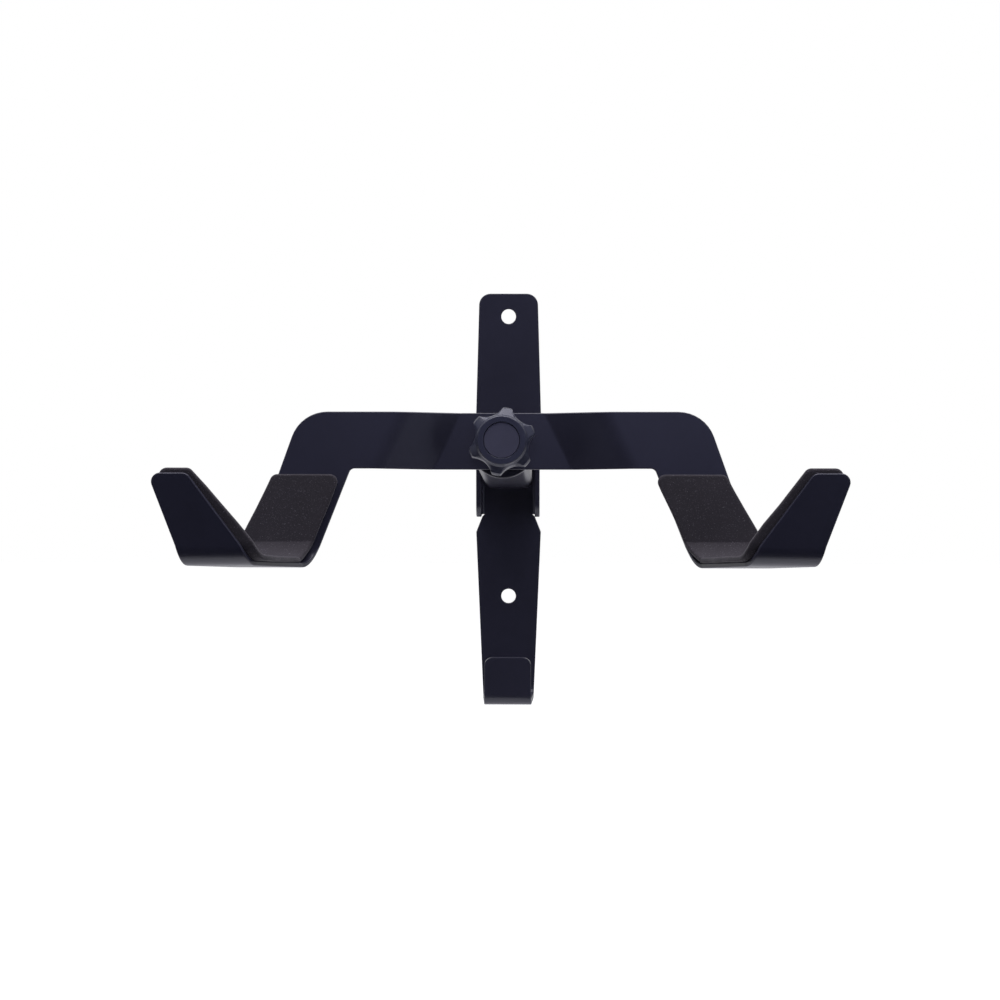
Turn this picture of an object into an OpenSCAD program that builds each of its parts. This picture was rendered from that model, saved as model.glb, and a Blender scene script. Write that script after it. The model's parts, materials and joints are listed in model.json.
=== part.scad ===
// Wall rack for one bicycle: a flat wall plate with a helmet hook, a folding
// channel arm, and a cradle of bent steel that a star knob clamps at any tilt.
// Millimetres. +Z is up, the wall is the plane y = 0, and the front is -Y.
// The origin is the middle of the two screw holes, on the plate's back face.

/* [Wall plate] */
// Distance between the two screw holes
screw_spacing = 173; // [150:1:200]
// Diameter of the screw holes
screw_hole_d = 9; // [5:0.5:10]
// Thickness of the wall plate
plate_t = 3; // [2.5:0.25:3.5]
// Widest width of the wall plate
plate_w = 40; // [38:0.5:44]
// Distance between the outer faces of the two hinge ears
ears_w = 38.5; // [38:0.1:40]
// Clear depth of the helmet hook
hook_slot = 30; // [20:1:40]
// Height of the helmet hook's lip
hook_h = 30; // [20:1:40]

/* [Folding arm] */
// Distance from the hinge pin to the front of the crossbar
arm_reach = 183.5; // [150:0.5:220]
// Rise of the arm towards its front end, in degrees
arm_rise = 7.2; // [4:0.2:12]
// Width of the channel
channel_w = 29.2; // [28:0.1:29.5]
// Thickness of the channel's steel
channel_t = 2.5; // [2:0.25:3]
// Diameter of the hinge bolt and of the knob's bolt
bolt_d = 8; // [6:1:8]

/* [Cradle] */
// Height of the crossbar
bar_h = 30.2; // [26:0.2:34]
// Distance from the knob's axis down to the crossbar's lower edge
bar_drop = 13; // [12:0.2:16]
// Thickness of the cradle's steel
steel_t = 2.5; // [2:0.25:3]
// Half of the crossbar's length, at its top edge
bar_half = 107.1; // [100:0.2:115]
// Depth by which the middle of the crossbar is set back
joggle = 9; // [6:0.5:10]
// Distance from the arm's axis down to the underside of the cradle
cradle_drop = 65.7; // [62:0.2:72]
// Distance from the back of the cradle to the front of its lip, at the floor
cradle_depth = 67.5; // [55:0.5:85]
// Lean of the lip away from the wall, in degrees
lip_lean = 9.2; // [5:0.2:15]
// Height of the lip above the floor, along its own slope
lip_h = 44.4; // [35:0.2:50]
// Thickness of the foam pads
foam_t = 3; // [2:0.5:4]

/* [Knob] */
// Diameter over the knob's lobes
knob_d = 35.4; // [34:0.2:40]
// Diameter of the friction disc behind the crossbar
disc_d = 35; // [34:0.2:38]
// Thread pitch of the knob's bolt
pitch = 1.25; // [1:0.25:1.5]

/* [Hidden] */
$fn = 96;

// Clearances: between faces that move past each other, and round a turning shaft
gap = 0.3;
running = 0.05;

// Wall plate
plate_top = screw_spacing / 2 + 14;
plate_top_half = 17.9;
plate_corner_r = 7;
ear_in = ears_w / 2 - plate_t;        // inner face of an ear
ear_bend_in = 1.5;                    // inside radius of an ear's bend
ear_flat = ear_in - ear_bend_in;      // where an ear's bend starts
ear_top = 16.5;
ear_bottom = -35.5;
ear_front = -31;
notch_rise = 3;
flare_rise = 9.5;
plate_foot_half = 16;
hook_bend_in = 4;
hook_bottom = -screw_spacing / 2 - 63.5;
hook_axis_z = hook_bottom + plate_t + hook_bend_in;
hook_lip_half = 14.1;
hook_lip_r = 5;

// Hinge
pin_y = -plate_t - 18;
pin_z = 5.7;
pin_above_axis = 9.5;
sleeve_r = 6;
side_washer_t = 1.3;
side_washer_r = 11;
m8_flats = 13;
m8_head_h = 5.3;
m8_nut_h = 8;
m8_washer_r = 8;
m8_washer_t = 1.6;

// Channel, in the arm's frame
bar_top = bar_h - bar_drop;
channel_bend_in = 2;
channel_out_r = channel_bend_in + channel_t;
wall_top = 13;
disc_t = 4;
disc_y = joggle + steel_t + gap;       // front face of the disc
tab_y = disc_y + disc_t;                    // front face of the channel's end tab
tab_half = 9.6;
eye_r = 12;
heel_back = (-plate_t - gap - pin_y + (bar_drop + pin_above_axis) * sin(arm_rise)) / cos(arm_rise);

// Cradle: each side edge of a strip is [half width at the crossbar's lower edge, widening
// per millimetre down the wall, along the floor and up the lip]
bend_in = 9;
lip_turn = 90 - lip_lean;
leg_z = -bar_drop - 20;               // where the leg's strip joins the crossbar's outline
steel_out = [bar_half + 0.3535 * bar_h, 0.3535, 0.3765, 0.366];
steel_in = [80.5, 0.389, 0.376, 0.73];
bar_corner_r = 20;
leg_corner_r = 3;
lip_corner_r = 4.5;

// Joggle folds lean with the legs, and are measured square to themselves
fold_lean = 26;
fold_in = 31 * cos(fold_lean);
fold_out = 61.6 * cos(fold_lean);
fold_angle = atan(joggle / (fold_out - fold_in));
fold_shift = steel_t * tan(fold_angle / 2);

// Foam pads span the bends with a wider radius, and were not glued on quite evenly
foam_top = -16.2;
foam_rise = 2.2;
foam_bend = 11.5;
foam_corner_r = 4;
left_out = [119.3, 0.49, 0.254, 0.32];
left_in = [83.5, 0.39, 0.257, 0.845];
right_out = [115.2, 0.56, 0.27, 0.325];
right_in = [77.6, 0.445, 0.34, 0.76];

// Knob, in the arm's frame: y grows towards the wall
knob_washer_t = 1.6;
knob_washer_r = 11;
washer_y = joggle - gap - knob_washer_t;
knob_back = washer_y - gap;
knob_front = knob_back - 22;
lobes = 6;
lobe_turn = -10;
scallop_r = 10.6;
scallop_at = knob_d / 2 + 6.9;
ring_r = 12.8;
cap_r = 9.4;
cap_recess = 0.8;
insert_r = 6;
insert_len = 14;
bolt_front = knob_back - 12.5;
bolt_head_r = 9;
bolt_head_h = 4.2;
square_neck = 8;

// A closed outline whose corners [x, y, r] are rounded to radius r
function unit(v) = v / norm(v);
function turn(a) = a > 180 ? a - 360 : a < -180 ? a + 360 : a;
function corner(a, p, b, r, n = 10) =
    let (u = unit(a - p), w = unit(b - p), half = acos(u * w) / 2,
         c = p + unit(u + w) * r / sin(half),
         e1 = p + u * r / tan(half) - c, e2 = p + w * r / tan(half) - c,
         a1 = atan2(e1[1], e1[0]), da = turn(atan2(e2[1], e2[0]) - a1))
    [for (i = [0 : n]) c + r * [cos(a1 + da * i / n), sin(a1 + da * i / n)]];
function flat2(p) = [p[0], p[1]];
function rounded(pts) =
    [for (i = [0 : len(pts) - 1])
        let (n = len(pts), a = flat2(pts[(i + n - 1) % n]), p = flat2(pts[i]), b = flat2(pts[(i + 1) % n]))
        each (pts[i][2] > 0 ? corner(a, p, b, pts[i][2]) : [p])];
function mirrored(pts) =
    concat(pts, [for (i = [len(pts) - 1 : -1 : 0]) [-pts[i][0], pts[i][1], pts[i][2]]]);
function arc(c, r, a1, a2, n = 10) =
    [for (i = [0 : n]) c + r * [cos(a1 + (a2 - a1) * i / n), sin(a1 + (a2 - a1) * i / n)]];

// Extrusions: a side profile (y, z) along X, and a front outline (x, z) from y0 back to y1
module across(x0, x1) translate([x0, 0, 0]) rotate([90, 0, 90]) linear_extrude(x1 - x0) children();
module deep(y0, y1) translate([0, y1, 0]) rotate([90, 0, 0]) linear_extrude(y1 - y0) children();

// A stretch of bent sheet in section: radii r1 to r2, from angle a1 to angle a2
module ring_sector(r1, r2, a1, a2) {
    reach = 2 * r2;
    difference() {
        intersection() {
            circle(r = r2);
            polygon([[0, 0], reach * [cos(a1), sin(a1)],
                     reach * [cos((a1 + a2) / 2), sin((a1 + a2) / 2)], reach * [cos(a2), sin(a2)]]);
        }
        circle(r = r1);
    }
}

// A round part turned about an axis along X or Y
module rod_x(x0, x1, r) translate([x0, 0, 0]) rotate([0, 90, 0]) cylinder(r = r, h = x1 - x0);
module rod_y(y0, y1, r) translate([0, y1, 0]) rotate([90, 0, 0]) cylinder(r = r, h = y1 - y0);

// The arm's frame: origin where the arm's axis meets the crossbar's front face
module on_arm() {
    translate([0, pin_y, pin_z]) rotate([-arm_rise, 0, 0])
        translate([0, -arm_reach, -pin_above_axis]) children();
}
module at_pin() translate([0, pin_y, pin_z]) children();

// ---- Wall plate, one piece of bent steel ----
module plate_outline() {
    polygon(rounded(mirrored([
        [plate_top_half, plate_top, plate_corner_r],
        [plate_w / 2, ear_top + notch_rise + 7, 0],
        [ear_in, ear_top + notch_rise, 0],
        [ear_flat, ear_top, 0],
        [ear_flat, ear_bottom, 0],
        [ear_in, ear_bottom - 1.5, 0],
        [plate_w / 2, ear_bottom - 1.5 - flare_rise, 0],
        [plate_foot_half, hook_axis_z, 0]])));
}
module ear() {
    difference() {
        union() {
            across(ear_in, ear_in + plate_t)
                polygon(rounded([[-plate_t - ear_bend_in, ear_top, 0], [ear_front, ear_top, 11],
                                 [ear_front, ear_bottom, 10], [-plate_t - ear_bend_in, ear_bottom, 0]]));
            translate([ear_flat, -plate_t - ear_bend_in, ear_bottom])
                linear_extrude(ear_top - ear_bottom)
                    ring_sector(ear_bend_in, ear_bend_in + plate_t, 0, 90);
        }
        at_pin() rod_x(0, ears_w, bolt_d / 2 + running);
    }
}
module hook_section() {
    front_axis_y = -plate_t - hook_slot + hook_bend_in;
    translate([-plate_t - hook_bend_in, hook_axis_z])
        ring_sector(hook_bend_in, hook_bend_in + plate_t, 0, -90);
    translate([front_axis_y, hook_bottom]) square([-plate_t - hook_bend_in - front_axis_y, plate_t]);
    translate([front_axis_y, hook_axis_z]) ring_sector(hook_bend_in, hook_bend_in + plate_t, -90, -180);
}
module wall_plate() color([0.13, 0.13, 0.17]) {
    front_y = -2 * plate_t - hook_slot;
    difference() {
        deep(-plate_t, 0) plate_outline();
        for (s = [-1, 1]) translate([0, 0, s * screw_spacing / 2])
            rod_y(-plate_t - 1, 1, screw_hole_d / 2);
    }
    for (s = [0, 1]) mirror([s, 0, 0]) ear();
    intersection() {
        across(-plate_foot_half, plate_foot_half) hook_section();
        translate([0, 0, hook_bottom - 1]) linear_extrude(hook_h)
            polygon([[plate_foot_half, 0], [hook_lip_half, front_y],
                     [-hook_lip_half, front_y], [-plate_foot_half, 0]]);
    }
    deep(front_y, front_y + plate_t)
        polygon(rounded(mirrored([[hook_lip_half, hook_bottom + hook_h, hook_lip_r],
                                  [hook_lip_half, hook_axis_z, 0]])));
}

// ---- Hinge hardware ----
module hexagon_x(x0, x1, flats) {
    translate([x0, 0, 0]) rotate([0, 90, 0]) cylinder(r = flats / sqrt(3), h = x1 - x0, $fn = 6);
}
module ring_x(x0, x1, r_out, r_in) {
    difference() {
        rod_x(x0, x1, r_out);
        rod_x(x0 - 1, x1 + 1, r_in);
    }
}
module hinge_bolt() color([0.62, 0.62, 0.6]) at_pin() {
    head_x = ears_w / 2 + m8_washer_t;
    rod_x(-ears_w / 2 - m8_washer_t - m8_nut_h - 2, head_x, bolt_d / 2);
    hexagon_x(head_x, head_x + m8_head_h, m8_flats);
}
module hinge_head_washer() color([0.7, 0.7, 0.68]) at_pin()
    ring_x(ears_w / 2, ears_w / 2 + m8_washer_t, m8_washer_r, bolt_d / 2 + 0.2);
module hinge_nut_washer() color([0.7, 0.7, 0.68]) at_pin()
    ring_x(-ears_w / 2 - m8_washer_t, -ears_w / 2, m8_washer_r, bolt_d / 2 + 0.2);
module hinge_lock_nut() color([0.62, 0.62, 0.6]) at_pin() {
    inner_x = -ears_w / 2 - m8_washer_t;
    difference() {
        union() {
            hexagon_x(inner_x - 6.2, inner_x, m8_flats);
            rod_x(inner_x - m8_nut_h, inner_x - 6.2, 5.9);
        }
        rod_x(inner_x - m8_nut_h - 1, inner_x + 1, bolt_d / 2 + running);
        rod_x(inner_x - 7.4, inner_x - 5.4, 5.1);
    }
}
module lock_nut_collar() color([0.1, 0.2, 0.5]) at_pin() {
    inner_x = -ears_w / 2 - m8_washer_t;
    ring_x(inner_x - 7.4, inner_x - 5.4, 5.1, bolt_d / 2 + running);
}
module hinge_sleeve() color([0.7, 0.7, 0.68]) at_pin()
    ring_x(-ear_in, ear_in, sleeve_r, bolt_d / 2 + running);
module side_washer_left() color([0.08, 0.08, 0.08]) at_pin()
    ring_x(-ear_in, -ear_in + side_washer_t, side_washer_r, sleeve_r + running);
module side_washer_right() color([0.08, 0.08, 0.08]) at_pin()
    ring_x(ear_in - side_washer_t, ear_in, side_washer_r, sleeve_r + running);

// ---- Folding channel arm ----
module channel_section() {
    half = channel_w / 2;
    for (s = [0, 1]) mirror([s, 0]) {
        translate([half - channel_out_r, -bar_drop + channel_out_r])
            ring_sector(channel_bend_in, channel_out_r, 0, -90);
        translate([half - channel_t, -bar_drop + channel_out_r])
            square([channel_t, 2 * bar_h]);
    }
    translate([-half + channel_out_r, -bar_drop]) square([channel_w - 2 * channel_out_r, channel_t]);
}
module channel_side() {
    polygon(rounded([[tab_y + 2, -bar_drop, 0], [tab_y + 2, wall_top, 6],
                     [arm_reach - eye_r * 2.4, wall_top, 20],
                     [arm_reach - eye_r, pin_above_axis + eye_r, 9],
                     [arm_reach + eye_r, pin_above_axis + eye_r, eye_r - 0.1],
                     [arm_reach + eye_r, pin_above_axis - 6, 10],
                     [arm_reach + heel_back, -bar_drop, 2]]));
}
module swing_bracket() color([0.14, 0.14, 0.2]) on_arm() {
    tab_bend_z = -bar_drop + channel_out_r;
    difference() {
        union() {
            intersection() {
                deep(tab_y + channel_out_r, arm_reach + 2 * heel_back) channel_section();
                across(-channel_w, channel_w) channel_side();
            }
            intersection() {
                deep(tab_y, tab_y + channel_out_r + 0.01) channel_section();
                across(-channel_w, channel_w) channel_side();
                for (s = [0, 1]) mirror([s, 0, 0])
                    across(channel_w / 2 - channel_out_r, channel_w) translate([0, -bar_h]) square([50, 80]);
            }
            across(-tab_half, tab_half) {
                translate([tab_y + channel_out_r, tab_bend_z])
                    ring_sector(channel_bend_in, channel_out_r, 180, 270);
                translate([tab_y, tab_bend_z]) square([channel_t, wall_top - tab_bend_z]);
                translate([tab_y + channel_out_r, -bar_drop]) square([1, channel_t]);
            }
        }
        translate([0, arm_reach, pin_above_axis]) rod_x(-channel_w, channel_w, sleeve_r + running);
        translate([-square_neck / 2 - 0.1, tab_y - 1, -square_neck / 2 - 0.1])
            cube([square_neck + 0.2, channel_t + 2, square_neck + 0.2]);
    }
}

// A coach bolt: its domed head is inside the channel and its neck sits in the tab's square hole
module tilt_bolt() color([0.6, 0.6, 0.58]) on_arm() {
    head_y = tab_y + channel_t;
    rod_y(bolt_front, tab_y + 0.5, bolt_d / 2);
    translate([-square_neck / 2, tab_y, -square_neck / 2]) cube([square_neck, channel_t, square_neck]);
    translate([0, head_y, 0]) rotate([-90, 0, 0]) rotate_extrude()
        polygon(concat([[0, 0], [bolt_head_r, 0]],
                       [for (a = [10 : 10 : 80]) [bolt_head_r * cos(a), bolt_head_h * sin(a)]],
                       [[0, bolt_head_h]]));
}
module friction_disc() color([0.1, 0.1, 0.11]) on_arm()
    difference() {
        rod_y(disc_y, tab_y, disc_d / 2);
        rod_y(disc_y - 1, tab_y + 1, bolt_d / 2 + 0.1);
    }

// ---- Cradle: one bent steel blank, symmetric about x = 0 ----
// Front outline of the right half, down to where its leg becomes a strip
module half_outline() {
    fall = -bar_drop - leg_z;
    polygon(rounded([
        [0, bar_top, 0],
        [bar_half, bar_top, bar_corner_r],
        [steel_out[0] + steel_out[1] * fall, leg_z, 0],
        [steel_in[0] + steel_in[1] * fall, leg_z, 0],
        [steel_in[0], -bar_drop, leg_corner_r],
        [0, -bar_drop, 0]]));
}
// Section of the set-back middle, square to the slanting folds
module joggle_section() {
    polygon([[-90, joggle], [fold_in, joggle], [fold_out, 0], [240, 0], [240, steel_t],
             [fold_out + fold_shift, steel_t], [fold_in + fold_shift, joggle + steel_t],
             [-90, joggle + steel_t]]);
}
module half_panel() {
    intersection() {
        deep(-1, joggle + steel_t + 1) half_outline();
        rotate([0, -fold_lean, 0]) translate([0, 0, -250]) linear_extrude(500) joggle_section();
    }
}
// Axes of a strip's two bends, where the face towards the steel has the radius r
function axis_1(r) = [-r, -cradle_drop + steel_t + r];
function axis_2(r) = [-cradle_depth + (r + steel_t) * tan(lip_turn / 2), -cradle_drop + steel_t + r];
// Section (y, z) of a strip that runs down the wall, along the floor and up the lip to a height
// of tip, with its faces a and b outside the steel's inner face
function strip_section(a, b, r, top_z, tip) =
    let (c1 = axis_1(r), c2 = axis_2(r),
         up = (tip - r * tan(lip_turn / 2)) * [-sin(lip_lean), cos(lip_lean)],
         outward = [-cos(lip_lean), -sin(lip_lean)])
    concat([[b, top_z]], arc(c1, r + b, 0, -90), arc(c2, r + b, -90, -90 - lip_turn),
           [c2 + (r + b) * outward + up, c2 + (r + a) * outward + up],
           arc(c2, r + a, -90 - lip_turn, -90), arc(c1, r + a, -90, 0), [[a, top_z]]);
// Everything beyond the plane through p with outward direction n
module beyond(p, n) {
    big = 300;
    d = unit(n);
    translate(p) rotate([0, -asin(d[2]), atan2(d[1], d[0])])
        translate([0, -big / 2, -big / 2]) cube(big);
}
// Where a strip's middle surface, of radius r, crosses the mitre of its second bend about axis c
function mitre_point(c, r) = c - r * [sin(lip_turn / 2), cos(lip_turn / 2)];
// Half width of a side edge there
function lip_root(edge, p) = edge[0] + edge[1] * (-bar_drop - p[1]) - edge[2] * (p[0] - steel_t / 2);
// Everything beyond a side edge: side is 1 for the outer edge and -1 for the inner one.
// The floor's plane and the lip's plane change over at the mitre through p, with a slight overlap.
module beyond_edge(edge, side, p) {
    root = [lip_root(edge, p), p[0], p[1]];
    mitre = [0, sin(90 - lip_turn / 2), -cos(90 - lip_turn / 2)];
    intersection() {
        beyond([edge[0], steel_t / 2, -bar_drop], side * [1, edge[2], edge[1]]);
        beyond(root - 0.01 * mitre, mitre);
    }
    intersection() {
        beyond(root, side * [1, edge[3] * sin(lip_lean), -edge[3] * cos(lip_lean)]);
        beyond(root + 0.01 * mitre, -mitre);
    }
}
// What is left of a rounded corner p between edges towards a and b, drawn a little outside
module corner_scrap(a, p, b, r) {
    rest = corner(a, p, b, r);
    polygon(concat([p + unit(2 * p - rest[0] - rest[len(rest) - 1]) * r], rest));
}
module strip(a, b, r, top_z, tip, inner, outer, tip_r, top_r) {
    mid_r = r + (a + b) / 2;
    c2 = axis_2(r);
    p = mitre_point(c2, mid_r);
    straight = tip - r * tan(lip_turn / 2);
    tip_in = lip_root(inner, p) + inner[3] * (straight + mid_r * sin(lip_turn / 2));
    tip_out = lip_root(outer, p) + outer[3] * (straight + mid_r * sin(lip_turn / 2));
    fall = -bar_drop - top_z;
    top_in = inner[0] + inner[1] * fall;
    top_out = outer[0] + outer[1] * fall;
    difference() {
        across(top_in - 12, tip_out + 12) polygon(strip_section(a, b, r, top_z, tip));
        beyond_edge(outer, 1, p);
        beyond_edge(inner, -1, p);
        translate([0, c2[0], c2[1]]) rotate([lip_lean, 0, 0]) deep(-20, 10) {
            corner_scrap([tip_in - inner[3] * 9, straight - 9], [tip_in, straight],
                         [tip_out, straight], tip_r);
            corner_scrap([tip_in, straight], [tip_out, straight],
                         [tip_out - outer[3] * 9, straight - 9], tip_r);
        }
        if (top_r > 0) deep(-20, 20) {
            corner_scrap([top_in + inner[1] * 9, top_z - 9], [top_in, top_z], [top_out, top_z], top_r);
            corner_scrap([top_in, top_z], [top_out, top_z], [top_out + outer[1] * 9, top_z - 9], top_r);
        }
    }
}
module half_cradle() {
    half_panel();
    strip(0, steel_t, bend_in, leg_z, lip_h, steel_in, steel_out, lip_corner_r, 0);
}
module cradle_arm() color([0.13, 0.13, 0.18]) on_arm() difference() {
    union() {
        half_cradle();
        mirror([1, 0, 0]) half_cradle();
    }
    rod_y(joggle - 1, joggle + steel_t + 1, bolt_d / 2 + 0.1);
}
module foam_pad(inner, outer)
    strip(-foam_t, 0, foam_bend, foam_top, lip_h + foam_rise, inner, outer, foam_corner_r, foam_corner_r);
module foam_pad_left() color([0.17, 0.15, 0.16]) on_arm() mirror([1, 0, 0]) foam_pad(left_in, left_out);
module foam_pad_right() color([0.17, 0.15, 0.16]) on_arm() foam_pad(right_in, right_out);

// ---- Star knob ----
module knob_washer() color([0.7, 0.7, 0.68]) on_arm()
    difference() {
        rod_y(washer_y, washer_y + knob_washer_t, knob_washer_r);
        rod_y(washer_y - 1, joggle, bolt_d / 2 + 0.1);
    }
// Side profile from the back face at height 0 to the ring at the front
module knob_profile() {
    depth = knob_back - knob_front;
    polygon([[0, 0], [12, 0], [12.6, 2], [knob_d / 2 - 0.8, 3.6], [knob_d / 2, 5], [knob_d / 2, 13],
             [knob_d / 2 - 1.2, 15.2], [ring_r + 1.6, 18.8], [ring_r, depth - 0.8],
             [ring_r - 0.8, depth], [0, depth]]);
}
module knob_body() color([0.12, 0.12, 0.15]) on_arm() difference() {
    translate([0, knob_back, 0]) rotate([90, 0, 0]) rotate_extrude() knob_profile();
    for (i = [0 : lobes - 1]) rotate([0, 90 + lobe_turn + 360 / lobes * (i + 0.5), 0])
        translate([scallop_at, 0, 0]) rod_y(knob_front - 1, knob_back + 1, scallop_r);
    rod_y(knob_back - insert_len, knob_back + 1, insert_r);
    rod_y(knob_front - 1, knob_front + 3.4, cap_r);
    rod_y(knob_front + 1, knob_front + 5.6, cap_r - 2);
}
module knob_insert() color([0.72, 0.6, 0.3]) on_arm() difference() {
    rod_y(knob_back - insert_len, knob_back, insert_r);
    rod_y(bolt_front - 1, knob_back + 1, bolt_d / 2 + running);
}
module knob_cap() color([0.1, 0.1, 0.13]) on_arm() difference() {
    union() {
        rod_y(knob_front + cap_recess, knob_front + 3.4, cap_r - 0.1);
        rod_y(knob_front + 3, knob_front + 5.6, cap_r - 2.1);
    }
    rod_y(knob_front + 3, knob_front + 7, cap_r - 3.4);
}

wall_plate();
hinge_bolt();
hinge_head_washer();
hinge_nut_washer();
hinge_lock_nut();
lock_nut_collar();
hinge_sleeve();
side_washer_left();
side_washer_right();
swing_bracket();
tilt_bolt();
friction_disc();
cradle_arm();
foam_pad_left();
foam_pad_right();
knob_washer();
knob_body();
knob_insert();
knob_cap();
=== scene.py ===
import json
import math

import bpy
import numpy as np
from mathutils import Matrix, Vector
from mathutils.geometry import delaunay_2d_cdt


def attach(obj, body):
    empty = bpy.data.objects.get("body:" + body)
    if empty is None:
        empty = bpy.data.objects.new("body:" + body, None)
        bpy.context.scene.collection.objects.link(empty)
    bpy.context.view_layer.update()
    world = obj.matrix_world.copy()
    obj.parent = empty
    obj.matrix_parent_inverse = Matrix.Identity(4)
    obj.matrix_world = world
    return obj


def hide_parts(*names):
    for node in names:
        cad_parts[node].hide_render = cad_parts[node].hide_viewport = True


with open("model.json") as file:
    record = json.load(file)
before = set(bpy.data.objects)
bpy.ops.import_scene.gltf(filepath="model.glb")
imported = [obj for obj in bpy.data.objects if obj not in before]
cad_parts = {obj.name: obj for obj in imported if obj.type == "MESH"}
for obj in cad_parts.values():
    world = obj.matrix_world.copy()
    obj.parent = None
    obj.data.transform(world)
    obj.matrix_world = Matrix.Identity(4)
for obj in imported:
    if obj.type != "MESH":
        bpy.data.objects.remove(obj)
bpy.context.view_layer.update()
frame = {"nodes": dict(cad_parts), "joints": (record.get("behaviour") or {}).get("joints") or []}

# A wall rack for one bicycle. All shapes are worked out in millimetres and turned to metres
# when they become meshes. Sheet pieces are laid out flat, given a rolled edge and then folded;
# round pieces are turned; everything on the arm is placed in the arm's own frame.
MM = 0.001

joints = {j["name"]: j for j in frame["joints"]}
tilt = joints["cradle_tilt"]
PIN = np.array(joints["arm_fold"]["pos_m"]) / MM
ARM_ORIGIN = np.array(tilt["pos_m"]) / MM
along_arm = -np.array(tilt["axis"])
ARM_AXES = np.array([[1, 0, 0], along_arm, np.cross([1, 0, 0], along_arm)])


def on_plate(points):
    """Wall frame: the points as they are."""
    return points


def on_arm(points):
    """Arm frame: x across, y along the arm towards the wall, z square to both."""
    return ARM_ORIGIN + points @ ARM_AXES


# ---------------------------------------------------------------- plane outlines


def rounded(corners, steps=8):
    """Closed outline of corners (x, y, r): each corner is swapped for the arc of radius r that
    touches both its edges, whose centre lies on the bisector at r over the sine of half the angle."""
    c = np.array(corners, float)
    p, r = c[:, :2], c[:, 2:]
    back, ahead = np.roll(p, 1, 0) - p, np.roll(p, -1, 0) - p
    back /= np.linalg.norm(back, axis=1, keepdims=True)
    ahead /= np.linalg.norm(ahead, axis=1, keepdims=True)
    half = np.arccos(np.clip((back * ahead).sum(1, keepdims=True), -0.9999999, 0.9999999)) / 2
    middle = back + ahead
    middle /= np.linalg.norm(middle, axis=1, keepdims=True) + 1e-12
    centre = p + middle * r / np.sin(half)
    first, last = p + back * r / np.tan(half) - centre, p + ahead * r / np.tan(half) - centre
    a = np.arctan2(first[:, 1], first[:, 0])
    sweep = (np.arctan2(last[:, 1], last[:, 0]) - a + np.pi) % (2 * np.pi) - np.pi
    angle = a[:, None] + sweep[:, None] * np.linspace(0, 1, steps + 1)
    arcs = centre[:, None] + r[:, :, None] * np.stack([np.cos(angle), np.sin(angle)], -1)
    loop = np.where(r[:, :, None] > 0, arcs, p[:, None]).reshape(-1, 2)
    return loop[np.linalg.norm(loop - np.roll(loop, 1, 0), axis=1) > 1e-5]


def circle(x, y, radius, steps=64):
    """Clockwise circle, for a hole."""
    a = -np.linspace(0, 2 * np.pi, steps, endpoint=False)
    return np.stack([x + radius * np.cos(a), y + radius * np.sin(a)], -1)


def beside(before, after):
    """Offset of a corner for a unit shift of both its edges to their right: the sum of their
    right-hand normals over one plus their dot product."""
    right = [np.stack([d[:, 1], -d[:, 0]], -1) for d in (before, after)]
    return (right[0] + right[1]) / (1 + (right[0] * right[1]).sum(1, keepdims=True))


def shifted(loop, distance):
    """A closed loop moved to its right-hand side by a distance, corners mitred."""
    d = np.roll(loop, -1, 0) - loop
    d /= np.linalg.norm(d, axis=1, keepdims=True)
    return loop + distance * beside(np.roll(d, 1, 0), d)


def inside(points, loops):
    """Even-odd test: counts the edges that a ray to the right of each point crosses."""
    a = np.concatenate(loops)
    b = np.concatenate([np.roll(loop, -1, 0) for loop in loops])
    x, y = points[:, :1], points[:, 1:]
    spans = (a[:, 1] > y) != (b[:, 1] > y)
    rise = np.where(a[:, 1] == b[:, 1], 1, b[:, 1] - a[:, 1])
    crossing = a[:, 0] + (y - a[:, 1]) / rise * (b[:, 0] - a[:, 0])
    return (spans & (crossing > x)).sum(1) % 2 == 1


# ---------------------------------------------------------------- meshes


def make_piece(name, points, faces, body, material, nodes, place):
    """Mesh from points in millimetres. Each vertex's shading normal is the sum of the cross
    products of its faces' diagonals, so that wide flat faces outweigh their narrow rolled edges."""
    points = place(np.asarray(points, float)) * MM
    total = np.zeros_like(points)
    for f in faces:
        corners = points[f]
        across = np.cross(corners[:, 2] - corners[:, 0], corners[:, -1] - corners[:, 1])
        for k in range(f.shape[1]):
            np.add.at(total, f[:, k], across)
    total /= np.linalg.norm(total, axis=1, keepdims=True) + 1e-20
    mesh = bpy.data.meshes.new(name)
    mesh.from_pydata(points.tolist(), [], [row for f in faces for row in f.tolist()])
    mesh.polygons.foreach_set("use_smooth", np.ones(len(mesh.polygons), bool))
    mesh.normals_split_custom_set_from_vertices(total.tolist())
    mesh.materials.append(material)
    obj = bpy.data.objects.new(name, mesh)
    bpy.context.collection.objects.link(obj)
    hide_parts(*nodes)
    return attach(obj, body)


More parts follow.
